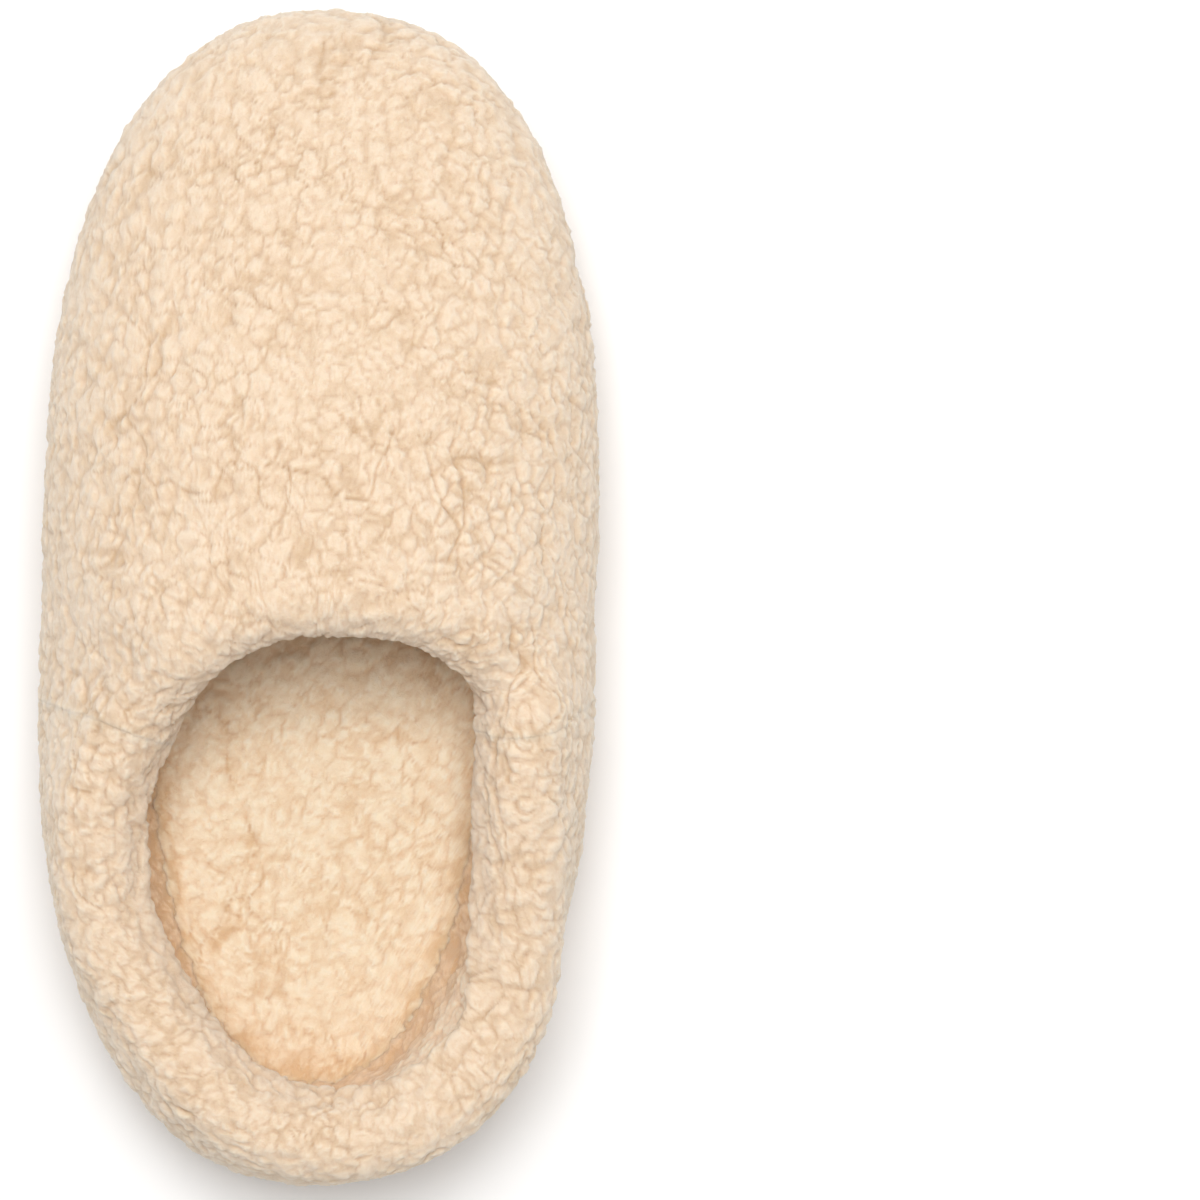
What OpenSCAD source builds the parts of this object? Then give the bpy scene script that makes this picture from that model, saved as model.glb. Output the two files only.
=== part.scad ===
// Closed-back house slipper in deep curly fleece, for the left foot.
// +Y points to the toe, +X to the inner side of the foot, +Z up.
// The origin is on the ground, under the middle of the sole.

/* [Overall] */
// Length over the fleece
slipper_len = 270; // [255:1:285]
// Width over the fleece at the ball of the foot
slipper_w = 127; // [120:1:134]
// Height of the wall's middle line at the rim beside the heel
rim_z = 46; // [42:1:52]
// Height of the wall's middle line over the instep
instep_z = 75; // [70:1:80]
// Height of the wall's middle line over the toes
toe_z = 54; // [50:1:58]
// Height of the widest line of the upper
wide_z = 32; // [30:1:36]
// Sideways lean of the centre line for each millimetre of length
lean = 0.0193; // [-0.03:0.0001:0.03]

/* [Outline] */
// Where the toe curve starts, ahead of the middle
toe_start = 17.6; // [10:0.1:25]
// Where the heel curve starts, behind the middle
heel_start = 23.6; // [15:0.1:30]
// Fullness of the toe curve: 2 is an ellipse
toe_power = 2.4; // [2:0.05:2.8]
// Fullness of the heel curve
heel_power = 2.17; // [2:0.01:2.8]

/* [Wall] */
// Thickness of the wall, from outer pile to inner pile
wall_t = 20; // [18:1:22]
// Thickness of the padding in the middle of the wall
padding_t = 4; // [3:0.5:5]
// Thickness of the stiffener in the heel
counter_t = 1.2; // [0.8:0.1:1.5]
// How far the wall tucks in at the toe and heel ends of the sole
end_tuck = 7; // [5:0.5:9]
// How far the wall tucks in at the sides of the sole
side_tuck = 8; // [6:0.5:10]
// How much narrower the sole is at the heel, as a fraction
heel_taper = 0.1; // [0:0.01:0.22]

/* [Foot opening] */
// Width between the rim's inner edges
mouth_w = 77; // [72:1:80]
// Length from the widest point to the front edge
mouth_front = 48; // [44:1:52]
// Length from the widest point to the back edge
mouth_back = 56; // [52:1:58]
// Position of the widest point along the slipper
mouth_y = -57; // [-60:1:-54]
// How far the front edge is turned to the inner side
mouth_skew = 7; // [0:0.5:9]
// How far the back edge is turned to the inner side
heel_skew = 5; // [0:0.5:6]

/* [Sole] */
// Height of the outsole's cup, where the upper starts
sole_h = 12; // [10:0.5:14]
// Thickness of the outsole's base
outsole_t = 5; // [4:0.5:6]
// Thickness of the outsole's side wall
cup_t = 4; // [3:0.5:5]
// How far the outsole stands out past the foot of the fleece
lip = 1; // [0:0.5:2]
// Thickness of the insole board
board_t = 1.5; // [1:0.1:2]
// Thickness of the footbed's foam
foam_t = 4.5; // [3:0.5:6]
// Thickness of the footbed's fleece
fleece_t = 4.5; // [3:0.5:6]
// Depth of the tread
tread_d = 1.6; // [1:0.1:2]
// Distance between the tread's grooves
tread_pitch = 11; // [8:1:14]

/* [Sewing] */
// Diameter of the sewing thread
thread_d = 0.9; // [0.6:0.1:1]
// Distance between stitches along the rim
stitch_pitch = 2; // [1:1:3]

/* [Hidden] */

fleece_col = "#f0d9be";
lining_col = "#e6cba9";
foam_col = "#f4efe2";
sole_col = "#d9c3a3";
thread_col = "#e2c8a4";

half_t = wall_t / 2;            // pile surface to middle line
core_t = padding_t / 2;         // half of the padding
toe_steps = 24;                 // segments of the toe curve
heel_steps = 22;                // segments of the heel curve
side_steps = 3;                 // segments of each straight side
low_steps = 3;                  // wall rings from the sole to the widest line
high_steps = 8;                 // wall rings from there to the rim
count = toe_steps + heel_steps + 2 * side_steps;
rim_ring = low_steps + high_steps;
left_seam = toe_steps + side_steps;
right_seam = left_seam + heel_steps;
seam_gap = 0.04;                // half of a side seam's gap, as a fraction of one segment
seam_angle = 165;               // where the rim's seam lies, round the edge from outside to inside
seam_half = 3;                  // half of the rim seam's gap, in degrees
roll_steps = 7;                 // segments of the outer fleece round the rim
tuck_power = 1.7;               // how sharply the wall turns under
dome_power = 2.2;               // fullness of the upper's arch
mouth_front_power = 2.45;       // squareness of the opening's front
mouth_back_power = 2.05;        // squareness of the opening's back
side_rise = 12;                 // rise of the rim from the heel to the front corners
back_rise = 3;                  // rise of the rim at the back of the heel
mouth_shift = 1;                // how far the opening's middle lies to the outer side
sole_edge = 1.5;                // size of the step round the bottom of the outsole
rib_depth = 0.8;                // depth of the groove round the outsole's side
rib_h = 1;                      // height of that groove
groove_half = 1;                // half of a tread groove's width
tread_rim = 4;                  // width of the smooth border round the tread
panel_size = [24, 32];          // half sizes of the smooth oval in the tread
board_gap = 1.2;                // room round the insole board
pile_gap = 0.3;                 // room round the footbed's foam and fleece

// Smooth step from 0 to 1 while v goes from a to b
function ease(v, a, b) = let (s = max(0, min(1, (v - a) / (b - a)))) s * s * (3 - 2 * s);
function mix(a, b, s) = a + (b - a) * s;
function unit(v) = v / norm(v);
function signed_pow(v, p) = sign(v) * pow(abs(v), p);

// One point of an outline: side is 1 for the toe curve and -1 for the heel curve
function curve_point(angle, side, inset, narrow, taper) =
    let (power = 2 / (side > 0 ? toe_power : heel_power),
         reach = slipper_len / 2 - (side > 0 ? toe_start : heel_start) - inset,
         start = side > 0 ? toe_start : -heel_start,
         y = start + side * reach * pow(sin(angle), power),
         x = side * (slipper_w / 2 - inset - narrow) * signed_pow(cos(angle), power))
    shaped(x, y, taper);

// Narrows a point towards the heel and leans the centre line
function shaped(x, y, taper) = [x * (1 - taper * ease(y, 25, -45)) + lean * y, y];

// One point of a straight side: side is 1 on the right, going forward, and -1 on the left, going back
function side_point(k, side, inset, narrow, taper) =
    let (travel = k / side_steps,
         y = side > 0 ? mix(-heel_start, toe_start, travel) : mix(toe_start, -heel_start, travel))
    shaped(side * (slipper_w / 2 - inset - narrow), y, taper);

// The plan outline, counter-clockwise from the right-hand end of the toe curve
function outline(inset, narrow = 0, taper = 0) = concat(
    [for (k = [0 : toe_steps]) curve_point(180 * k / toe_steps, 1, inset, narrow, taper)],
    [for (k = [1 : side_steps - 1]) side_point(k, -1, inset, narrow, taper)],
    [for (k = [0 : heel_steps]) curve_point(180 * k / heel_steps, -1, inset, narrow, taper)],
    [for (k = [1 : side_steps - 1]) side_point(k, 1, inset, narrow, taper)]);

// The rim's middle line, in the direction of a point as seen from the middle of the opening
function rim_point(toward) =
    let (d = unit(toward - [0, mouth_y]),
         front = d.y > 0,
         power = front ? mouth_front_power : mouth_back_power,
         reach = (front ? mouth_front : mouth_back) + half_t,
         across = mouth_w / 2 + half_t,
         r = pow(pow(abs(d.x) / across, power) + pow(abs(d.y) / reach, power), -1 / power),
         p = [0, mouth_y] + r * d)
    [p.x + mouth_skew * ease(p.y, -50, -12) + heel_skew * ease(-p.y, 68, 106) - mouth_shift, p.y];

// How far out a plan point lies: 0 on the centre line, 1 on the wall's widest middle line
function outness(p) =
    let (across = abs(p.x - lean * p.y) / (slipper_w / 2 - half_t),
         front = p.y > 0,
         power = front ? toe_power : heel_power,
         start = front ? toe_start : heel_start,
         reach = slipper_len / 2 - start - half_t,
         along = max(0, abs(p.y) - start) / reach)
    min(1, pow(pow(across, power) + pow(along, power), 1 / power));

// Height of the arched upper's middle line over a plan point
function arch_z(p) =
    let (crown = toe_z + (instep_z - toe_z) * ease(p.y, 120, -25))
    wide_z + (crown - wide_z) * sqrt(1 - pow(outness(p), dome_power));

// Height of the rim's middle line along the sides and round the heel
function collar_z(y) = rim_z + side_rise * ease(y, -95, -15) + back_rise * ease(-y, 85, 118);

wide_line = outline(half_t);
rim_line = [for (p = wide_line) rim_point(p)];

// Middle of the wall below the widest line, for ring j
function low_ring(j) =
    let (f = j / low_steps, g = pow(1 - f, tuck_power), z = mix(sole_h, wide_z, f))
    [for (p = outline(half_t + end_tuck * g, (side_tuck - end_tuck) * g, heel_taper * g)) [p.x, p.y, z]];

// Middle of the wall above it: a leaning collar at the heel that turns into the vamp's arch
function high_ring(j) =
    let (s = (j - low_steps) / high_steps, a = 1 - cos(90 * s))
    [for (i = [0 : count - 1])
        let (p = mix(wide_line[i], rim_line[i], a),
             width = norm(wide_line[i] - rim_line[i]),
             collar = mix(wide_z, collar_z(rim_line[i].y), s))
        [p.x, p.y, mix(collar, arch_z(p), ease(width, 4, 40))]];

middle = [for (j = [0 : rim_ring]) j < low_steps ? low_ring(j) : high_ring(j)];

// The outward direction of the wall at each point of its middle
normals = [for (j = [0 : rim_ring]) [for (i = [0 : count - 1])
    let (around = middle[j][(i + 1) % count] - middle[j][(i + count - 1) % count],
         up = middle[min(j + 1, rim_ring)][i] - middle[max(j - 1, 0)][i])
    unit(cross(around, up))]];

// A grid's value between two columns
function at(row, i) = let (a = floor(i), n = count) mix(row[(a + n) % n], row[(a + 1 + n) % n], i - a);

// A point of the wall, depth outward from its middle; the lowest ring stands on the outsole
function wall_point(i, j, depth) =
    let (p = at(middle[j], i) + depth * unit(at(normals[j], i)))
    [p.x, p.y, j == 0 ? sole_h : p.z];

// A point of the rolled rim, where angle 0 is the wall's outside and 180 its inside
function roll_point(i, angle, radius) =
    let (end = at(middle[rim_ring], i),
         out = unit(at(normals[rim_ring], i)),
         rise = end - at(middle[rim_ring - 1], i),
         along = unit(rise - (rise * out) * out))
    end + radius * (cos(angle) * out + sin(angle) * along);

// Section of a layer: points on its outside and, beside each, on its inside
function outer_pairs(i) = concat(
    [for (j = [0 : rim_ring]) [wall_point(i, j, half_t), wall_point(i, j, core_t)]],
    [for (k = [1 : roll_steps]) let (a = (seam_angle - seam_half) * k / roll_steps)
        [roll_point(i, a, half_t), roll_point(i, a, core_t)]]);
function lining_pairs(i) = concat(
    [for (j = [0 : rim_ring]) [wall_point(i, j, -core_t), wall_point(i, j, -half_t)]],
    [let (a = seam_angle + seam_half) [roll_point(i, a, core_t), roll_point(i, a, half_t)]]);
function padding_pairs(i, outside = core_t) =
    [for (j = [0 : rim_ring]) [wall_point(i, j, outside), wall_point(i, j, -core_t)]];
function counter_pairs(i) =
    [for (j = [0 : low_steps + 4]) [wall_point(i, j, core_t), wall_point(i, j, core_t - counter_t)]];

// Closed solid through a row of sections, each a list of point pairs
module skin(sections) {
    pairs = len(sections[0]);
    ring = 2 * pairs;
    last = len(sections) - 1;
    points = [for (s = sections) each concat([for (k = [0 : pairs - 1]) s[k][0]],
                                             [for (k = [pairs - 1 : -1 : 0]) s[k][1]])];
    walls = [for (s = [0 : last - 1], k = [0 : ring - 1])
        let (a = s * ring + k, b = s * ring + (k + 1) % ring)
        each [[a, b, b + ring], [a, b + ring, a + ring]]];
    ends = [for (s = [0, last], k = [0 : pairs - 2])
        let (a = s * ring + k, b = a + 1, c = s * ring + ring - 2 - k, d = c + 1)
        each s == 0 ? [[a, c, b], [a, d, c]] : [[a, b, c], [a, c, d]]];
    polyhedron(points, concat(walls, ends));
}

// Closed ring through sections that are plain loops of points
module loop_skin(sections) {
    ring = len(sections[0]);
    turns = len(sections);
    walls = [for (s = [0 : turns - 1], k = [0 : ring - 1])
        let (a = s * ring + k, b = s * ring + (k + 1) % ring, step = s == turns - 1 ? -s * ring : ring)
        each [[a, b, b + step], [a, b + step, a + step]]];
    polyhedron([for (s = sections) each s], walls);
}

// The columns that a piece spans, stopping short of both side seams
function vamp_columns() = concat([right_seam + seam_gap],
    [for (i = [right_seam + 1 : left_seam + count - 1]) i], [left_seam + count - seam_gap]);
function quarter_columns() = concat([left_seam + seam_gap],
    [for (i = [left_seam + 1 : right_seam - 1]) i], [right_seam - seam_gap]);

// The floor inside the wall, drawn in by a gap
function floor_outline(gap) =
    [for (i = [0 : count - 1]) let (p = wall_point(i, 0, -half_t - gap)) [p.x, p.y]];

// The space inside the wall at a height, where the face of the lining crosses it, drawn in by a gap
function inside_at(z, gap) =
    [for (i = [0 : count - 1])
        let (a = wall_point(i, 0, -half_t - gap),
             b = wall_point(i, 1, -half_t - gap),
             c = wall_point(i, 2, -half_t - gap),
             p = z < b.z ? mix(a, b, (z - a.z) / (b.z - a.z)) : mix(b, c, (z - b.z) / (c.z - b.z)))
        [p.x, p.y, z]];

// The outsole's outline, drawn in by an inset
function sole_outline(inset) =
    [for (i = [0 : count - 1]) let (p = wall_point(i, 0, half_t + lip - inset)) [p.x, p.y]];

module slab(points, z, height) {
    translate([0, 0, z]) linear_extrude(height) polygon(points);
}

// A layer that widens with the space inside the wall
module inside_slab(z, height) {
    points = concat(inside_at(z, pile_gap), inside_at(z + height, pile_gap));
    walls = [for (i = [0 : count - 1])
        let (a = i, b = (i + 1) % count)
        each [[a, a + count, b + count], [a, b + count, b]]];
    bottom = [for (i = [0 : count - 1]) i];
    top = [for (i = [count - 1 : -1 : 0]) i + count];
    polyhedron(points, concat(walls, [bottom, top]));
}

// Zigzag grooves across the tread
module grooves() {
    teeth = 12;
    step = slipper_w / teeth;
    bend = step * 0.45;
    for (row = [-10 : 10]) {
        y = row * tread_pitch;
        top = [for (k = [0 : teeth]) [(k - teeth / 2) * step, y + (k % 2) * bend + groove_half]];
        bottom = [for (k = [teeth : -1 : 0]) [(k - teeth / 2) * step, y + (k % 2) * bend - groove_half]];
        polygon(concat(top, bottom));
    }
}

// The smooth oval in the middle of the tread
module sole_panel() {
    polygon([for (a = [0 : 10 : 350]) [panel_size.x * cos(a), panel_size.y * sin(a)]]);
}

module outsole() {
    rib_top = outsole_t + rib_h;
    color(sole_col) difference() {
        union() {
            slab(sole_outline(sole_edge), 0, sole_edge);
            slab(sole_outline(0), sole_edge, outsole_t - sole_edge);
            slab(sole_outline(rib_depth), outsole_t, rib_h);
            slab(sole_outline(0), rib_top, sole_h - rib_top);
        }
        slab(sole_outline(cup_t), outsole_t, sole_h);
        translate([0, 0, -tread_d]) linear_extrude(2 * tread_d) difference() {
            intersection() {
                grooves();
                polygon(sole_outline(sole_edge + tread_rim));
            }
            sole_panel();
        }
    }
}

module midsole() {
    color(foam_col) slab(sole_outline(cup_t), outsole_t, sole_h - outsole_t);
}

module insole_board() {
    color(lining_col) slab(floor_outline(board_gap), sole_h, board_t);
}

module footbed_foam() {
    color(foam_col) inside_slab(sole_h + board_t, foam_t);
}

module footbed_cover() {
    color(lining_col) inside_slab(sole_h + board_t + foam_t, fleece_t);
}

module vamp_outer() {
    color(fleece_col) skin([for (i = vamp_columns()) outer_pairs(i)]);
}

module vamp_padding() {
    color(foam_col) skin([for (i = vamp_columns()) padding_pairs(i)]);
}

module vamp_lining() {
    color(lining_col) skin([for (i = vamp_columns()) lining_pairs(i)]);
}

module quarter_outer() {
    color(fleece_col) skin([for (i = quarter_columns()) outer_pairs(i)]);
}

module quarter_padding() {
    color(foam_col) skin([for (i = quarter_columns()) padding_pairs(i, core_t - counter_t)]);
}

module quarter_lining() {
    color(lining_col) skin([for (i = quarter_columns()) lining_pairs(i)]);
}

module heel_counter() {
    color("#cbbfae") skin([for (i = [left_seam + 4 : right_seam - 4]) counter_pairs(i)]);
}

// Reinforcing tape inside the rolled rim
module topline_tape() {
    color("#efe6d6") loop_skin([for (i = [0 : count - 1])
        [for (a = [10 : 40 : 170]) roll_point(i, a, core_t - 0.2)]]);
}

// Thread from one point to another
module thread(from, to) {
    run = to - from;
    translate(from) rotate([0, acos(run.z / norm(run)), atan2(run.y, run.x)])
        cylinder(h = norm(run), d = thread_d, $fn = 16);
}

module topline_stitching() {
    depth = half_t - thread_d / 2;
    color(thread_col) for (i = [0 : stitch_pitch : count - 1])
        thread(roll_point(i + 0.15, seam_angle, depth), roll_point(i + 0.85, seam_angle, depth));
}

// A closed seam's thread, standing in the gap between the vamp and the quarter
module side_seam(column) {
    depth = half_t - 1;
    color(thread_col) for (j = [1 : rim_ring - 1])
        let (low = wall_point(column, j, depth), high = wall_point(column, j + 1, depth))
        thread(mix(low, high, 0.1), mix(low, high, 0.8));
}

module side_seam_inner() {
    side_seam(right_seam);
}

module side_seam_outer() {
    side_seam(left_seam);
}

// Stitches between the insole board and the foot of the lining
module insole_stitching() {
    z = sole_h + thread_d / 2;
    board = floor_outline(1.1);
    wall = floor_outline(0.1);
    color(thread_col) for (i = [0 : count - 1])
        thread([board[i].x, board[i].y, z], [wall[i].x, wall[i].y, z]);
}

outsole();
midsole();
insole_board();
footbed_foam();
footbed_cover();
vamp_outer();
vamp_padding();
vamp_lining();
quarter_outer();
quarter_padding();
quarter_lining();
heel_counter();
topline_tape();
topline_stitching();
side_seam_inner();
side_seam_outer();
insole_stitching();
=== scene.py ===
"""Looks of the fluffy house slipper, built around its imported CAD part.

Lengths are in millimetres until a mesh is made, and then in metres.
+Y points to the toe, +X to the inner side of the foot, +Z up.
"""
import math

import bpy
import numpy as np
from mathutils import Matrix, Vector, geometry


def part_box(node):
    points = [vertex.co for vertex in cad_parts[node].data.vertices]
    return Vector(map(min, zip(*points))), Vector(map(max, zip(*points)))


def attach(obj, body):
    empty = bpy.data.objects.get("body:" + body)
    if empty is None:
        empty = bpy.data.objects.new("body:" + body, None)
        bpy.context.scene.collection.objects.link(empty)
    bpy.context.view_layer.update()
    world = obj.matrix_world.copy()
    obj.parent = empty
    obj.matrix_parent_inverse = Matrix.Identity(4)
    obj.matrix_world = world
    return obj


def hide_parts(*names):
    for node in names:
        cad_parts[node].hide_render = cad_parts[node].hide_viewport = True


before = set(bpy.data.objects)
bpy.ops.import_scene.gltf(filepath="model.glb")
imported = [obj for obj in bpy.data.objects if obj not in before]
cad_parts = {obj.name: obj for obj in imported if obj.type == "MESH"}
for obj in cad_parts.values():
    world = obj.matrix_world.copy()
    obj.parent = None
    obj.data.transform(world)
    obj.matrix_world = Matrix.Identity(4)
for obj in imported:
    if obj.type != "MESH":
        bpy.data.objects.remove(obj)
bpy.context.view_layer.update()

MM = 0.001


# ---------------------------------------------------------------- sizes, in millimetres

def node_box(name):
    """Lowest and highest corners of a CAD node, in millimetres."""
    low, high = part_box(name)
    return np.array(low) / MM, np.array(high) / MM


# From the frame
FOOTBED_LOW, FOOTBED_HIGH = node_box("footbed_cover")
VAMP_LOW, VAMP_HIGH = node_box("vamp_outer")
LENGTH = VAMP_HIGH[1] - node_box("quarter_outer")[0][1]
WIDTH = VAMP_HIGH[0] - VAMP_LOW[0]
SOLE_H = node_box("outsole")[1][2]
FOOTBED_Z = FOOTBED_HIGH[2]

# The upper's driving values, the same as in the CAD part
RIM_Z, INSTEP_Z, TOE_Z, WIDE_Z = 46.0, 75.0, 54.0, 32.0
LEAN = 0.0193
TOE_START, HEEL_START = 17.6, 23.6
TOE_POWER, HEEL_POWER = 2.4, 2.17
HALF_T, CORE_T = 10.0, 2.0  # half the wall, and half its core of padding
END_TUCK, SIDE_TUCK, HEEL_TAPER, TUCK_POWER = 7.0, 8.0, 0.1, 1.7
MOUTH_W, MOUTH_FRONT, MOUTH_BACK, MOUTH_Y = 77.0, 48.0, 56.0, -57.0
MOUTH_FRONT_POWER, MOUTH_BACK_POWER = 2.45, 2.05
MOUTH_SKEW, HEEL_SKEW, MOUTH_SHIFT = 7.0, 5.0, 1.0
SIDE_RISE, BACK_RISE, DOME_POWER = 12.0, 3.0, 2.2
# Spans of y over which the sole narrows, the crown, the sides and the back rise, and the opening turns
TAPER_SPAN, CROWN_SPAN = (25.0, -45.0), (120.0, -25.0)
SIDE_RISE_SPAN, BACK_RISE_SPAN = (-95.0, -15.0), (-85.0, -118.0)
MOUTH_SKEW_SPAN, HEEL_SKEW_SPAN = (-50.0, -12.0), (-68.0, -106.0)
ARCH_SPAN = (4.0, 40.0)  # the wall's width in plan over which it turns from collar to arch
SEAM_ANGLE = 165.0  # where the rim's seam lies, in degrees rolled over from the outside

# The outsole
SOLE_LIP, SOLE_BEVEL = 1.0, 1.8
CUP_T, CUP_FLOOR = 4.0, 5.0
TREAD_D, TREAD_PITCH, TREAD_TEETH, TREAD_ZIGZAG = 1.6, 11.0, 12, 0.45
GROOVE_SPAN = (0.6, 1.3)  # where a groove's side slopes, from its middle line
BORDER_SPAN = (3.2, 4.4)  # where the grooves run out, from the underside's edge
OVAL_X, OVAL_Y = 24.0, 32.0  # half the width and length of the smooth oval in the tread
RIB_LOW, RIB_HIGH, RIB_PITCH, RIB_D = 3.2, 8.6, 2.7, 0.8  # waves round the side

# Columns go round the outline: the toe curve, the left side, the heel curve, the right side
TOE_COLS, SIDE_COLS, HEEL_COLS = 24.0, 3.0, 22.0
COLS = TOE_COLS + HEEL_COLS + 2 * SIDE_COLS
LEFT_SEAM = TOE_COLS + SIDE_COLS
RIGHT_SEAM = LEFT_SEAM + HEEL_COLS
# Rows go up the wall: from the sole to the widest line, then on to the rim
LOW_ROWS, HIGH_ROWS = 3.0, 8.0
RIM_ROW = LOW_ROWS + HIGH_ROWS

# The fleece panels. Depths are those of the pile's mean surface, from the wall's middle
OUTER_DEPTH, LINING_DEPTH = HALF_T - 0.6, -HALF_T + 0.5
SEAM_OVERLAP = 0.08  # how far each panel runs past a side seam, in columns
EDGE_DIP = 0.8  # how far a panel's side edge dips under its neighbour
RIM_PUFF, LINING_PUFF = 2.1, 0.5  # how much thicker the pile is at the rim's seam
EDGE_ROUND = 6.0  # how far from an edge the pile reaches its full height
SWIRL, BEND, FINE = 8.0, 3.2, 1.5  # sizes of the three bends in the tufts' outlines
TUFT, NUB, PATCH = 4.6, 2.3, 16.0  # sizes of the tufts, their nubs and the patches between partings
PART_GAP = 13.0  # size of the stretches where the partings fade out
FUZZ, LUMP = 1.3, 15.0  # sizes of the finest and the broadest unevenness
BACKING_PAINTED_SHADE = 0.3  # the painted shade given to a panel's backing
BACKING_STEP = 8  # how many front cells one backing cell covers
OUTER_STRENGTH, INNER_STRENGTH = 0.78, 0.8  # of the pile's relief
OUTER_SALT, LINING_SALT, FOOTBED_SALT = 11, 211, 251  # each gives its own pattern of pile
FOOTBED_PUSH = 1.8  # how far the footbed's edge is pushed into the wall's lining
FOOTBED_DISH, HEEL_SINK = 1.2, 0.8  # how far the footbed's edge rises and its heel sinks


# ---------------------------------------------------------------- the wall's middle surface

def ease(v, a, b):
    """Smooth step from 0 to 1 while v goes from a to b."""
    s = np.clip((v - a) / (b - a), 0, 1)
    return s * s * (3 - 2 * s)


def unit(v):
    """Vectors scaled to a length of 1."""
    return v / np.maximum(np.linalg.norm(v, axis=-1, keepdims=True), 1e-9)


def outline(col, inset, narrow=0.0, taper=0.0):
    """Plan outline at each column, inset from the fleece's outside."""
    col = np.mod(col, COLS)
    heel = (col >= LEFT_SEAM) & (col <= RIGHT_SEAM)
    toe = col <= TOE_COLS
    left = (col > TOE_COLS) & (col < LEFT_SEAM)
    angle = np.where(toe, col / TOE_COLS, (col - LEFT_SEAM) / HEEL_COLS) * math.pi
    side = np.where(heel, -1.0, 1.0)
    power = 2 / np.where(heel, HEEL_POWER, TOE_POWER)
    start = np.where(heel, -HEEL_START, TOE_START)
    reach = LENGTH / 2 - np.where(heel, HEEL_START, TOE_START) - inset
    half = WIDTH / 2 - inset - narrow
    sine, cosine = np.clip(np.sin(angle), 0, 1), np.cos(angle)
    y = start + side * reach * sine ** power
    x = side * half * np.sign(cosine) * np.abs(cosine) ** power
    travel = np.where(left, (col - TOE_COLS) / SIDE_COLS, (col - RIGHT_SEAM) / SIDE_COLS)
    y_left = TOE_START + (-HEEL_START - TOE_START) * travel
    y_right = -HEEL_START + (TOE_START + HEEL_START) * travel
    straight = ~heel & ~toe
    y = np.where(straight, np.where(left, y_left, y_right), y)
    x = np.where(straight, np.where(left, -half, half), x)
    return np.stack([x * (1 - taper * ease(y, *TAPER_SPAN)) + LEAN * y, y], -1)


def rim_line(toward):
    """The rim's middle line, in the direction of each point as seen from the opening's middle."""
    d = unit(toward - np.array([0, MOUTH_Y]))
    front = d[..., 1] > 0
    power = np.where(front, MOUTH_FRONT_POWER, MOUTH_BACK_POWER)
    reach = np.where(front, MOUTH_FRONT, MOUTH_BACK) + HALF_T
    across = MOUTH_W / 2 + HALF_T
    r = ((np.abs(d[..., 0]) / across) ** power + (np.abs(d[..., 1]) / reach) ** power) ** (-1 / power)
    x, y = r * d[..., 0], MOUTH_Y + r * d[..., 1]
    skew = MOUTH_SKEW * ease(y, *MOUTH_SKEW_SPAN) + HEEL_SKEW * ease(y, *HEEL_SKEW_SPAN)
    return np.stack([x + skew - MOUTH_SHIFT, y], -1)


def arch_z(p):
    """Height of the arched upper's middle over a plan point."""
    x, y = p[..., 0], p[..., 1]
    across = np.abs(x - LEAN * y) / (WIDTH / 2 - HALF_T)
    front = y > 0
    power = np.where(front, TOE_POWER, HEEL_POWER)
    start = np.where(front, TOE_START, HEEL_START)
    along = np.maximum(0, np.abs(y) - start) / (LENGTH / 2 - start - HALF_T)
    out = np.minimum(1, (across ** power + along ** power) ** (1 / power))
    crown = TOE_Z + (INSTEP_Z - TOE_Z) * ease(y, *CROWN_SPAN)
    return WIDE_Z + (crown - WIDE_Z) * np.sqrt(1 - out ** DOME_POWER)


def collar_z(y):
    """Height of the rim's middle along the sides and round the heel."""
    return RIM_Z + SIDE_RISE * ease(y, *SIDE_RISE_SPAN) + BACK_RISE * ease(y, *BACK_RISE_SPAN)


def middle(col, row):
    """The middle of the wall's thickness."""
    f = np.clip(row / LOW_ROWS, 0, 1)
    g = (1 - f) ** TUCK_POWER
    low = outline(col, HALF_T + END_TUCK * g, (SIDE_TUCK - END_TUCK) * g, HEEL_TAPER * g)
    wide = outline(col, HALF_T)
    rim = rim_line(wide)
    s = np.clip((row - LOW_ROWS) / HIGH_ROWS, 0, 1)
    high = wide + (rim - wide) * (1 - np.cos(s * math.pi / 2))[..., None]
    span = ease(np.linalg.norm(wide - rim, axis=-1), *ARCH_SPAN)
    collar = WIDE_Z + (collar_z(rim[..., 1]) - WIDE_Z) * s
    is_low = row < LOW_ROWS
    z = np.where(is_low, SOLE_H + (WIDE_Z - SOLE_H) * f, collar + (arch_z(high) - collar) * span)
    return np.concatenate([np.where(is_low[..., None], low, high), z[..., None]], -1)


def wall(col, row, depth):
    """A point of the wall, depth outward from its middle. Past the rim's row it rolls over the edge:
    each unit of row there is one degree."""
    col, row = np.broadcast_arrays(np.asarray(col, float), np.asarray(row, float))
    on_wall = np.minimum(row, RIM_ROW)
    here = middle(col, on_wall)
    step = 0.05
    around = middle(col + step, on_wall) - middle(col - step, on_wall)
    up = middle(col, np.minimum(on_wall + step, RIM_ROW)) - middle(col, np.maximum(on_wall - step, 0))
    out = unit(np.cross(around, up))
    along = unit(up - (up * out).sum(-1, keepdims=True) * out)
    angle = np.radians(np.maximum(row - RIM_ROW, 0))[..., None]
    sign = 1.0 if depth >= 0 else -1.0
    p = here + abs(depth) * (np.cos(angle) * out * sign + np.sin(angle) * along)
    floor = np.where(row <= 0, SOLE_H, p[..., 2])
    p[..., 2] = np.maximum(floor, SOLE_H)
    return p


# ---------------------------------------------------------------- fleece relief

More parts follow.
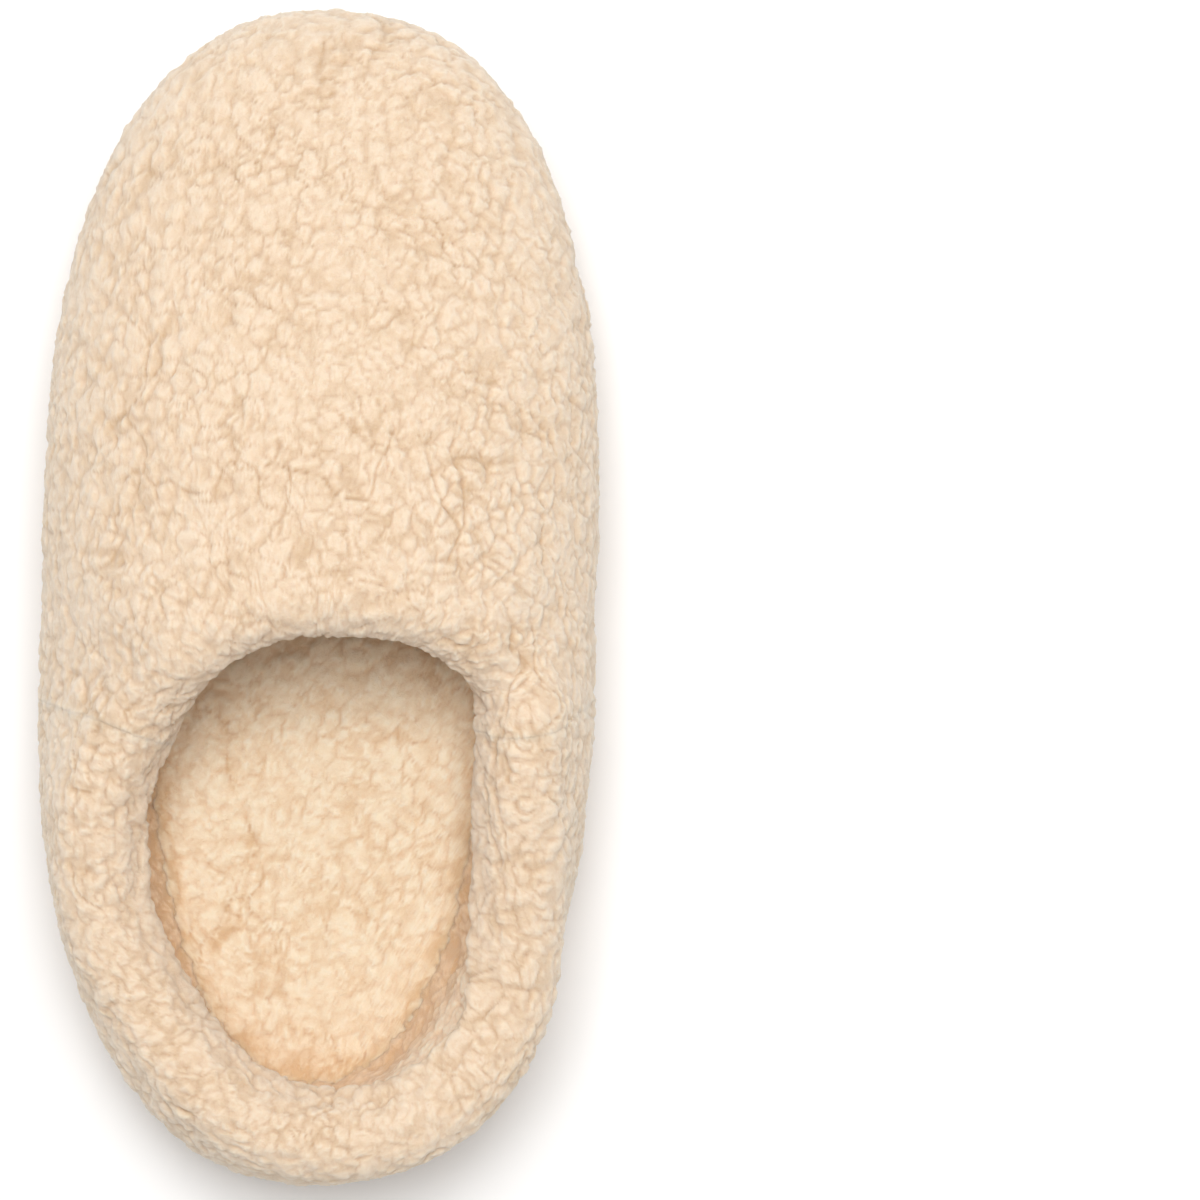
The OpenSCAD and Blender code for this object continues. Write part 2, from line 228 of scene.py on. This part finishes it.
def hashed(cell, salt):
    """One number from 0 to 1 for each integer cell, the same on every run."""
    n = (cell[..., 0] * 73856093) ^ (cell[..., 1] * 19349663) ^ (cell[..., 2] * 83492791)
    n = (n ^ (salt * 2654435761)) & 0x7FFFFFFF
    n = ((n ^ (n >> 15)) * 2246822519) & 0x7FFFFFFF
    n = ((n ^ (n >> 13)) * 3266489917) & 0x7FFFFFFF
    return ((n ^ (n >> 16)) & 0xFFFFF) / 0xFFFFF


def smooth_noise(p, size, salt):
    """Value noise from -1 to 1, with features about size across."""
    q = p / size
    base = np.floor(q).astype(np.int64)
    f = q - base
    f = f * f * (3 - 2 * f)
    total = 0
    for corner in np.ndindex(2, 2, 2):
        weight = np.prod(np.where(np.array(corner) == 1, f, 1 - f), axis=-1)
        total = total + weight * hashed(base + np.array(corner), salt)
    return total * 2 - 1


def tufts(p, size, salt):
    """Tufts packed side by side: how near each point is to its tuft's middle, and to the border with
    the next tuft. Both are shares of size."""
    stretch = 0.4  # how much each tuft is drawn out along an axis of its own
    q = p / size
    base = np.floor(q).astype(np.int64)
    first = np.full(q.shape[:-1], 9.0)
    second = first.copy()
    for step in np.ndindex(3, 3, 3):
        cell = base + np.array(step) - 1
        seed = cell + np.stack([hashed(cell, salt + k) for k in (1, 2, 3)], -1)
        axis = unit(np.stack([hashed(cell, salt + k) for k in (4, 5, 6)], -1) - 0.5)
        r = q - seed
        d = (r * r).sum(-1) - stretch * (r * axis).sum(-1) ** 2
        d = np.sqrt(np.maximum(d, 0)) / (0.85 + 0.3 * hashed(cell, salt + 7))
        second = np.minimum(second, np.maximum(d, first))
        first = np.minimum(first, d)
    return first, second - first


def fleece_height(p, salt, strength):
    """Height of the pile over its mean, in millimetres, and the painted shade at each point, darker
    the deeper it lies in a crease.
    """
    swirl = np.stack([smooth_noise(p, SWIRL, salt + 20 + k) for k in range(3)], -1)
    bend = np.stack([smooth_noise(p, BEND, salt + 30 + k) for k in range(3)], -1)
    fine = np.stack([smooth_noise(p, FINE, salt + 40 + k) for k in range(3)], -1)
    q = p + 1.8 * swirl + 1.3 * bend + 0.35 * fine
    to_middle, to_border = tufts(q, TUFT, salt)
    nub, nub_border = tufts(q + 0.5 * bend, NUB, salt + 50)
    _, part_border = tufts(p * np.array([1, 0.55, 1]) + 4 * swirl, PATCH, salt + 90)
    loose = ease(smooth_noise(p, SWIRL, salt + 70), -0.7, 0.5)
    crack = (1 - ease(to_border, 0.0, 0.26)) * (0.35 + 0.65 * loose)
    nub_crack = 1 - ease(nub_border, 0.0, 0.35)
    part = (1 - ease(part_border, 0, 0.05)) * ease(smooth_noise(p, PART_GAP, salt + 80), -0.1, 0.4)
    dome = np.clip(1 - to_middle ** 2 / 0.9, 0, 1)
    nub_dome = np.clip(1 - nub ** 2 / 0.9, 0, 1)
    fuzz = smooth_noise(p, FUZZ, salt + 65)
    lumps = smooth_noise(p, LUMP, salt + 60)
    height = (1.25 * dome + 0.7 * nub_dome - 0.3 * crack - 0.12 * nub_crack - 0.6 * part
              + 0.45 * lumps + 0.4 * fuzz - 0.95)
    # painted shade: darker in the cracks between tufts and nubs, in the partings and off the tufts'
    # tops
    depth = 0.4 * crack + 0.22 * nub_crack + 0.4 * part + 0.25 * (1 - dome) - 0.05 * fuzz
    return strength * height, np.clip(depth, 0, 1)


# ---------------------------------------------------------------- meshes

def spaced(values, lengths, count):
    """Values resampled so that they lie evenly by length."""
    total = np.concatenate([[0], np.cumsum(lengths)])
    return np.interp(np.linspace(0, total[-1], count), total, values)


def make_mesh(name, points, faces, attributes=None):
    """A smooth-shaded object from points in millimetres, groups of faces and values at the points."""
    mesh = bpy.data.meshes.new(name)
    mesh.from_pydata([], [], [])
    mesh.vertices.add(len(points))
    mesh.vertices.foreach_set("co", (np.asarray(points) * MM).astype(np.float32).ravel())
    faces = [np.asarray(f, np.int32) for f in faces]
    sizes = np.concatenate([np.full(len(f), f.shape[1]) for f in faces])
    corners = np.concatenate([f.ravel() for f in faces])
    mesh.loops.add(len(corners))
    mesh.loops.foreach_set("vertex_index", corners)
    mesh.polygons.add(len(sizes))
    starts = np.concatenate([[0], np.cumsum(sizes)[:-1]])
    mesh.polygons.foreach_set("loop_start", starts.astype(np.int32))
    mesh.update(calc_edges=True)
    mesh.validate()
    mesh.polygons.foreach_set("use_smooth", np.ones(len(mesh.polygons), bool))
    for key, values in (attributes or {}).items():
        layer = mesh.attributes.new(key, "FLOAT", "POINT")
        layer.data.foreach_set("value", np.asarray(values, np.float32))
    piece = bpy.data.objects.new(name, mesh)
    bpy.context.scene.collection.objects.link(piece)
    return piece


def grid_faces(rows, cols, wrap=False, offset=0, flip=False):
    """Quads of a grid whose points run row by row."""
    r = np.arange(rows - 1)[:, None]
    c = np.arange(cols if wrap else cols - 1)[None, :]
    a = r * cols + c
    b = r * cols + (c + 1) % cols
    quads = np.stack([a, b, b + cols, a + cols], -1).reshape(-1, 4) + offset
    return quads[:, ::-1] if flip else quads


def grid_normals(grid):
    """Directions square to a grid's surface."""
    return unit(np.cross(np.gradient(grid, axis=1), np.gradient(grid, axis=0)))


def border(rows, cols):
    """The grid places along the four edges, once round."""
    first_row = [(0, c) for c in range(cols)]
    last_col = [(r, cols - 1) for r in range(1, rows)]
    last_row = [(rows - 1, c) for c in range(cols - 2, -1, -1)]
    first_col = [(r, 0) for r in range(rows - 2, 0, -1)]
    return first_row + last_col + last_row + first_col


def disc_grid(across, along):
    """A square grid mapped onto a disc: each point's reach from the middle, and its outline column."""
    a, b = np.meshgrid(np.linspace(-1, 1, across), np.linspace(-1, 1, along))
    x, y = a * np.sqrt(1 - b * b / 2), b * np.sqrt(1 - a * a / 2)
    turn = np.degrees(np.arctan2(y, x)) % 360
    inner, outer = COLS - SIDE_COLS / 2, TOE_COLS + SIDE_COLS / 2
    toe, heel = TOE_COLS / 2, LEFT_SEAM + HEEL_COLS / 2
    col = np.interp(turn, [0, 90, 180, 270, 360], [inner - COLS, toe, outer, heel, inner])
    return np.hypot(x, y)[..., None], col


def closed_panel(name, front, back, painted_shade, flip=False):
    """A dense front joined along its edges to a coarse backing, as one closed mesh."""
    rows, cols = front.shape[:2]
    ring = border(rows, cols)
    inner = [(r, c) for r in range(BACKING_STEP, rows - BACKING_STEP // 2, BACKING_STEP)
             for c in range(BACKING_STEP, cols - BACKING_STEP // 2, BACKING_STEP)]
    flat = geometry.delaunay_2d_cdt([Vector((c, r)) for r, c in ring + inner], [], [], 0, 1e-6)
    start = rows * cols
    origin = np.array([ids[0] for ids in flat[3]])
    backing = origin[np.array(flat[2])] + start
    edge = np.array([r * cols + c for r, c in ring])
    under = np.arange(len(ring)) + start
    skirt = np.stack([edge, under, np.roll(under, -1), np.roll(edge, -1)], -1)
    faces = [grid_faces(rows, cols), skirt, backing[:, ::-1]]
    if flip:
        faces = [f[:, ::-1] for f in faces]
    places = np.array(ring + inner)
    points = np.concatenate([front.reshape(-1, 3), back[places[:, 0], places[:, 1]]])
    painted_shade = np.concatenate([painted_shade.ravel(), np.full(len(places), BACKING_PAINTED_SHADE)])
    piece = make_mesh(name, points, faces, {"painted_shade": painted_shade})
    piece.data.set_sharp_from_angle(angle=math.radians(85))
    return piece


def wall_panel(name, first, last, cols, rows, depth, roll, salt, strength):
    """A fleece panel of the wall, between two columns, from the sole up and over the rim."""
    fine = np.linspace(first, last, 600)
    edge = wall(fine, LOW_ROWS, depth)
    col = spaced(fine, np.linalg.norm(np.diff(edge, axis=0), axis=1), cols)
    path = np.concatenate([np.linspace(0, RIM_ROW, 120)[:-1], RIM_ROW + np.linspace(0, roll, 30)])
    steps = np.linalg.norm(np.diff(wall(col[:, None], path, depth), axis=1), axis=2)
    row = np.stack([spaced(path, s, rows) for s in steps], -1)
    grid = wall(col, row, depth)
    outward = depth > 0
    height, painted_shade = fleece_height(grid, salt, strength)
    row_steps = np.linalg.norm(np.diff(grid, axis=0), axis=2)
    from_sole = np.cumsum(np.concatenate([[np.zeros(cols)], row_steps]), 0)
    to_seam = from_sole[-1] - from_sole
    to_side = np.minimum(col - first, last - col)
    puff = RIM_PUFF if outward else LINING_PUFF
    height = height * (0.35 + 0.65 * ease(from_sole, 0, EDGE_ROUND))
    height = height + puff * (1 - ease(to_seam, 0.5, EDGE_ROUND))
    height = height - EDGE_DIP * (1 - ease(to_side, 0, SEAM_OVERLAP))
    if not outward:  # painted shade: the pile low inside the wall is darkened
        painted_shade = np.clip(painted_shade + 0.5 * (1 - ease(grid[..., 2], 24, 46)), 0, 1)
    side = 1 if outward else -1
    front = grid + grid_normals(grid) * side * height[..., None]
    back = wall(col, row, CORE_T * side)
    return closed_panel(name, front, back, painted_shade, flip=not outward)


# ---------------------------------------------------------------- materials

def new_material(name):
    """A node material, with its nodes, links and shader."""
    material = bpy.data.materials.new(name)
    material.use_nodes = True
    nodes = material.node_tree.nodes
    return material, nodes, material.node_tree.links, nodes["Principled BSDF"]


def linear(r, g, b):
    """An sRGB colour of 0 to 255 as Blender's linear colour."""
    c = np.array([r, g, b]) / 255
    c = np.where(c <= 0.04045, c / 12.92, ((c + 0.055) / 1.055) ** 2.4)
    return (*c, 1.0)


def ramp(nodes, stops):
    """A colour ramp with a stop for each position and colour."""
    node = nodes.new("ShaderNodeValToRGB")
    node.color_ramp.elements[0].position, node.color_ramp.elements[0].color = stops[0]
    node.color_ramp.elements[1].position, node.color_ramp.elements[1].color = stops[-1]
    for position, color in stops[1:-1]:
        node.color_ramp.elements.new(position).color = color
    return node


def noise(nodes, links, coords, scale, detail, distortion=0.0, roughness=0.5):
    """A noise texture with about scale features in a metre."""
    node = nodes.new("ShaderNodeTexNoise")
    node.inputs["Scale"].default_value = scale
    node.inputs["Detail"].default_value = detail
    node.inputs["Distortion"].default_value = distortion
    node.inputs["Roughness"].default_value = roughness
    links.new(coords, node.inputs["Vector"])
    return node


def math_node(nodes, links, operation, first, second, third=None):
    """A Math node with each input either a socket or a number."""
    node = nodes.new("ShaderNodeMath")
    node.operation = operation
    for socket, value in zip(node.inputs, (first, second, third)):
        if isinstance(value, (int, float)):
            socket.default_value = value
        elif value is not None:
            links.new(value, socket)
    return node.outputs[0]


def bump_node(nodes, links, height, strength, distance, under=None):
    """The normal that a height gives, over another bump if there is one."""
    bump = nodes.new("ShaderNodeBump")
    bump.inputs["Strength"].default_value = strength
    bump.inputs["Distance"].default_value = distance
    links.new(height, bump.inputs["Height"])
    if under:
        links.new(under, bump.inputs["Normal"])
    return bump.outputs["Normal"]


def fleece_material(name, light, mid, deep_shade):
    """Curly pile: painted shade in the creases, read from an attribute of the mesh, and painted shade
    where the curls and fibres of its bump lie low, over random patches of tone, with two sizes of
    fibre in its bump.
    """
    material, nodes, links, shader = new_material(name)
    coords = nodes.new("ShaderNodeTexCoord").outputs["Object"]
    painted_shade = nodes.new("ShaderNodeAttribute")
    painted_shade.attribute_name = "painted_shade"
    patches = noise(nodes, links, coords, 60, 3).outputs["Fac"]
    curls = noise(nodes, links, coords, 620, 3, 2.2, 0.6).outputs["Fac"]
    fibres = noise(nodes, links, coords, 2400, 2, 1.5, 0.6).outputs["Fac"]
    # random patches of tone, plus painted shade from the creases and from the low curls and fibres
    tone_and_painted_shade = math_node(nodes, links, "MULTIPLY_ADD", patches, 0.2, painted_shade.outputs["Fac"])
    tone_and_painted_shade = math_node(nodes, links, "MULTIPLY_ADD", curls, -0.3, tone_and_painted_shade)
    tone_and_painted_shade = math_node(nodes, links, "MULTIPLY_ADD", fibres, -0.4, tone_and_painted_shade)
    color = ramp(nodes, [(0.0, light), (0.2, mid), (0.8, deep_shade)])
    links.new(math_node(nodes, links, "ADD", tone_and_painted_shade, 0.17), color.inputs["Fac"])
    links.new(color.outputs["Color"], shader.inputs["Base Color"])
    shader.inputs["Roughness"].default_value = 0.95
    shader.inputs["Specular IOR Level"].default_value = 0.12
    shader.inputs["Sheen Weight"].default_value = 0.35
    shader.inputs["Sheen Roughness"].default_value = 0.6
    shader.inputs["Subsurface Weight"].default_value = 0.6
    shader.inputs["Subsurface Radius"].default_value = (1.0, 0.9, 0.75)
    shader.inputs["Subsurface Scale"].default_value = 0.0028
    curled = bump_node(nodes, links, curls, 0.35, 0.0011)
    links.new(bump_node(nodes, links, fibres, 0.6, 0.0004, curled), shader.inputs["Normal"])
    return material


def yarn_material(name, light, dark, scale, roughness):
    """Soft fibres or foam: two close shades in small patches, over a fine bump."""
    material, nodes, links, shader = new_material(name)
    coords = nodes.new("ShaderNodeTexCoord").outputs["Object"]
    patches = noise(nodes, links, coords, scale, 3)
    tint = ramp(nodes, [(0.35, dark), (0.65, light)])
    links.new(patches.outputs["Fac"], tint.inputs["Fac"])
    links.new(tint.outputs["Color"], shader.inputs["Base Color"])
    shader.inputs["Roughness"].default_value = roughness
    shader.inputs["Specular IOR Level"].default_value = 0.1
    shader.inputs["Sheen Weight"].default_value = 0.3
    grain = noise(nodes, links, coords, 8 * scale, 2).outputs["Fac"]
    links.new(bump_node(nodes, links, grain, 0.25, 0.0002), shader.inputs["Normal"])
    return material


def rubber_material(name, color):
    """Foamed rubber: slightly uneven colour and a fine matt grain."""
    material, nodes, links, shader = new_material(name)
    coords = nodes.new("ShaderNodeTexCoord").outputs["Object"]
    patches = noise(nodes, links, coords, 60, 4)
    tint = ramp(nodes, [(0.3, tuple(c * 0.94 for c in color[:3]) + (1,)), (0.7, color)])
    links.new(patches.outputs["Fac"], tint.inputs["Fac"])
    links.new(tint.outputs["Color"], shader.inputs["Base Color"])
    shader.inputs["Roughness"].default_value = 0.62
    grain = noise(nodes, links, coords, 1800, 3).outputs["Fac"]
    links.new(bump_node(nodes, links, grain, 0.3, 0.0002), shader.inputs["Normal"])
    return material


def give(piece, material):
    """Makes a material the piece's only one."""
    piece.data.materials.clear()
    piece.data.materials.append(material)


OUTER = fleece_material("outer_fleece",
                        linear(239, 218, 193), linear(234, 210, 182), linear(215, 184, 149))
# painted shade: the lining is the same fleece as the outside, but its deeper tones are warmer and more
# saturated, as it looks in shade inside
SHADED_LINING = fleece_material("lining_fleece",
                         linear(252, 232, 206), linear(250, 221, 189), linear(222, 184, 142))
FOOTBED = fleece_material("footbed_fleece",
                          linear(248, 231, 206), linear(243, 223, 195), linear(227, 195, 156))
RUBBER = rubber_material("sole_rubber", linear(222, 199, 168))
FOAM = yarn_material("sole_foam", linear(243, 238, 225), linear(232, 225, 208), 500, 0.9)
PADDING = yarn_material("padding_foam", linear(240, 232, 212), linear(228, 217, 192), 400, 0.95)
BOARD = yarn_material("insole_board", linear(206, 190, 165), linear(184, 166, 140), 260, 0.85)
TAPE = yarn_material("topline_tape", linear(236, 226, 208), linear(222, 210, 190), 900, 0.8)
THREAD = yarn_material("thread", linear(240, 220, 193), linear(226, 203, 172), 1200, 0.7)
CAD_LOOKS = {"midsole": FOAM, "insole_board": BOARD, "heel_counter": BOARD, "footbed_foam": PADDING,
             "vamp_padding": PADDING, "quarter_padding": PADDING, "topline_tape": TAPE,
             "topline_stitching": THREAD, "side_seam_inner": THREAD, "side_seam_outer": THREAD,
             "insole_stitching": THREAD}


# ---------------------------------------------------------------- pieces

def soft(piece, material, slot, *nodes):
    """Gives a padded piece that stands for its CAD solids its material, hangs it on the root body and
    hides those solids.
    """
    give(piece, material)
    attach(piece, "root")
    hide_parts(*nodes)


VAMP_SPAN = (RIGHT_SEAM - COLS - SEAM_OVERLAP, LEFT_SEAM + SEAM_OVERLAP)
QUARTER_SPAN = (LEFT_SEAM - SEAM_OVERLAP, RIGHT_SEAM + SEAM_OVERLAP)
# Degrees rolled over the rim. The outer pile covers the rim's seam and the edge of the lining
OUTSIDE_ROLL, INSIDE_ROLL = SEAM_ANGLE + 7, 180 - SEAM_ANGLE + 0.6


def outer_panel(name, span, cols, rows, node):
    """A panel of outer fleece, with its counts of columns and rows."""
    piece = wall_panel(name, *span, cols, rows, OUTER_DEPTH, OUTSIDE_ROLL, OUTER_SALT, OUTER_STRENGTH)
    soft(piece, OUTER, "outer_fleece", node)


def lining_panel(name, span, cols, rows, node):
    """A panel of lining fleece, with its counts of columns and rows."""
    piece = wall_panel(name, *span, cols, rows, LINING_DEPTH, INSIDE_ROLL, LINING_SALT, INNER_STRENGTH)
    soft(piece, SHADED_LINING, "lining_fleece", node)


def inside_edge(col, z):
    """Where the lining's face crosses a height, at each column."""
    rows = np.linspace(0.02, LOW_ROWS, 40)
    face = wall(col[..., None], rows, LINING_DEPTH)
    past = np.argmax(face[..., 2] >= z, axis=-1)[..., None, None]
    return np.take_along_axis(face, past, axis=-2)[..., 0, :2]


def footbed_cover():
    """The fleece top of the footbed, dished, with its edge pushed into the wall's lining."""
    reach, col = disc_grid(110, 260)
    edge = inside_edge(col, FOOTBED_Z - 0.5)
    centre = np.array([0.0, (FOOTBED_LOW[1] + FOOTBED_HIGH[1]) / 2])
    radius = np.linalg.norm(edge - centre, axis=-1, keepdims=True)
    edge = centre + (edge - centre) * (1 + FOOTBED_PUSH / radius)
    plan = centre + (edge - centre) * reach
    dish = FOOTBED_DISH * ease(reach[..., 0], 0.72, 1.0) - HEEL_SINK * ease(plan[..., 1], -20, -90)
    top = np.concatenate([plan, np.full(reach.shape, FOOTBED_Z - 0.6)], -1)
    height, painted_shade = fleece_height(top, FOOTBED_SALT, INNER_STRENGTH)
    to_wall = np.linalg.norm(edge - plan, axis=-1)
    # painted shade: the footbed darkens within 10 mm of the wall
    painted_shade = np.clip(painted_shade + 0.4 * (1 - ease(to_wall, 3, 10)), 0, 1)
    top[..., 2] += height + dish
    under_plan = centre + (edge - centre) * reach * 0.96
    under = np.concatenate([under_plan, np.full(reach.shape, FOOTBED_LOW[2] + 0.1)], -1)
    piece = closed_panel("footbed_fleece", top, under, painted_shade)
    soft(piece, FOOTBED, "lining_fleece", "footbed_cover")


def tread_height(plan, to_rim):
    """Height of the underside: zigzag grooves, away from the rim and from a smooth oval."""
    step = WIDTH / TREAD_TEETH
    zigzag = np.abs((plan[..., 0] / step) % 2 - 1) * TREAD_ZIGZAG * step
    to_groove = np.abs((plan[..., 1] - zigzag + TREAD_PITCH / 2) % TREAD_PITCH - TREAD_PITCH / 2)
    oval = np.hypot(plan[..., 0] / OVAL_X, plan[..., 1] / OVAL_Y)
    groove = (1 - ease(to_groove, *GROOVE_SPAN)) * ease(to_rim, *BORDER_SPAN) * ease(oval, 0.96, 1.03)
    return TREAD_D * groove


def side_profile():
    """The outsole's side, from the bevel over the lip and down into the cup, as insets and heights."""
    bevel = [(SOLE_BEVEL * (1 - math.sin(t)), SOLE_BEVEL * (1 - math.cos(t)))
             for t in np.linspace(0.25, math.pi / 2, 5)]
    ribs = [(RIB_D / 2 * (1 - math.cos(2 * math.pi * (z - RIB_LOW) / RIB_PITCH)), z)
            for z in np.arange(RIB_LOW, RIB_HIGH + 0.01, RIB_PITCH / 10)]
    lip = [(0.0, SOLE_H - 1.0), (0.1, SOLE_H - 0.4), (0.4, SOLE_H - 0.1), (0.9, SOLE_H),
           (CUP_T - 0.4, SOLE_H), (CUP_T, SOLE_H - 0.4), (CUP_T, CUP_FLOOR)]
    return bevel + ribs + lip


def outsole():
    """The rubber outsole: its tread, its ribbed side and the cup round the midsole."""
    across, along = 150, 340
    reach, col = disc_grid(across, along)
    edge = wall(col, 0.0, HALF_T + SOLE_LIP)[..., :2]
    inward = -unit(edge - wall(col, 0.0, HALF_T - 1)[..., :2])
    bottom_edge = edge + inward * SOLE_BEVEL
    plan = bottom_edge * reach
    to_rim = np.linalg.norm(bottom_edge - plan, axis=-1)
    tread = np.concatenate([plan, tread_height(plan, to_rim)[..., None]], -1)
    ring = np.array(border(along, across))
    count = len(ring)
    rim, rim_in = edge[ring[:, 0], ring[:, 1]], inward[ring[:, 0], ring[:, 1]]
    profile = side_profile()
    rings = np.stack([np.concatenate([rim + rim_in * inset, np.full((count, 1), z)], -1)
                      for inset, z in profile])
    base = along * across
    first = ring[:, 0] * across + ring[:, 1]
    start = np.arange(count) + base
    join = np.stack([first, np.roll(first, -1), np.roll(start, -1), start], -1)
    sides = grid_faces(len(profile), count, wrap=True, offset=base)
    cup_floor = (start + (len(profile) - 1) * count)[None, :]
    points = np.concatenate([tread.reshape(-1, 3), rings.reshape(-1, 3)])
    faces = [grid_faces(along, across, flip=True), join, sides, cup_floor]
    piece = make_mesh("outsole_rubber", points, faces)
    piece.data.set_sharp_from_angle(angle=math.radians(50))
    give(piece, RUBBER)
    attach(piece, "root")
    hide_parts("outsole")


# ---------------------------------------------------------------- floor, light, camera

def add_floor():
    """A plain, nearly white floor, 8 m square."""
    mesh = bpy.data.meshes.new("floor")
    half = 4.0
    corners = [(-half, -half, 0), (half, -half, 0), (half, half, 0), (-half, half, 0)]
    mesh.from_pydata(corners, [], [(0, 1, 2, 3)])
    floor = bpy.data.objects.new("floor", mesh)
    bpy.context.scene.collection.objects.link(floor)
    material, nodes, links, shader = new_material("floor")
    shader.inputs["Base Color"].default_value = (0.93, 0.93, 0.93, 1)
    shader.inputs["Roughness"].default_value = 1.0
    shader.inputs["Specular IOR Level"].default_value = 0.0
    mesh.materials.append(material)


def add_light(name, place, target, size, power):
    """A square area light, in metres and watts, aimed at a target."""
    light = bpy.data.lights.new(name, "AREA")
    light.size = size
    light.energy = power
    lamp = bpy.data.objects.new(name, light)
    lamp.location = place
    lamp.rotation_euler = (Vector(target) - Vector(place)).to_track_quat("-Z", "Y").to_euler()
    bpy.context.scene.collection.objects.link(lamp)


def add_camera():
    """Straight above the middle of a pair, of which this is the left one."""
    camera = bpy.data.cameras.new("camera")
    distance, field, level = 1.30, 0.275, 0.035  # the field is the frame's width at that level
    middle_x, middle_y = 0.0645, -0.0007
    camera.lens = camera.sensor_width * (distance - level) / field
    view = bpy.data.objects.new("camera", camera)
    view.location = (middle_x, middle_y, distance)
    bpy.context.scene.collection.objects.link(view)
    bpy.context.scene.camera = view


def add_world(strength):
    """Even white light from all round."""
    world = bpy.data.worlds.new("world")
    world.use_nodes = True
    world.node_tree.nodes["Background"].inputs["Color"].default_value = (1, 1, 1, 1)
    world.node_tree.nodes["Background"].inputs["Strength"].default_value = strength
    bpy.context.scene.world = world


# ---------------------------------------------------------------- the scene

outer_panel("vamp_fleece", VAMP_SPAN, 440, 220, "vamp_outer")
outer_panel("quarter_fleece", QUARTER_SPAN, 440, 150, "quarter_outer")
lining_panel("vamp_lining_fleece", VAMP_SPAN, 300, 150, "vamp_lining")
lining_panel("quarter_lining_fleece", QUARTER_SPAN, 320, 70, "quarter_lining")
footbed_cover()
outsole()
for node, look in CAD_LOOKS.items():
    give(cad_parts[node], look)
add_floor()
add_light("overhead", place=(0.05, 0.4, 1.8), target=(0, 0, 0.03), size=0.8, power=25)
add_world(strength=0.52)
add_camera()
bpy.context.scene.view_settings.view_transform = "Standard"
bpy.context.scene.view_settings.look = "None"
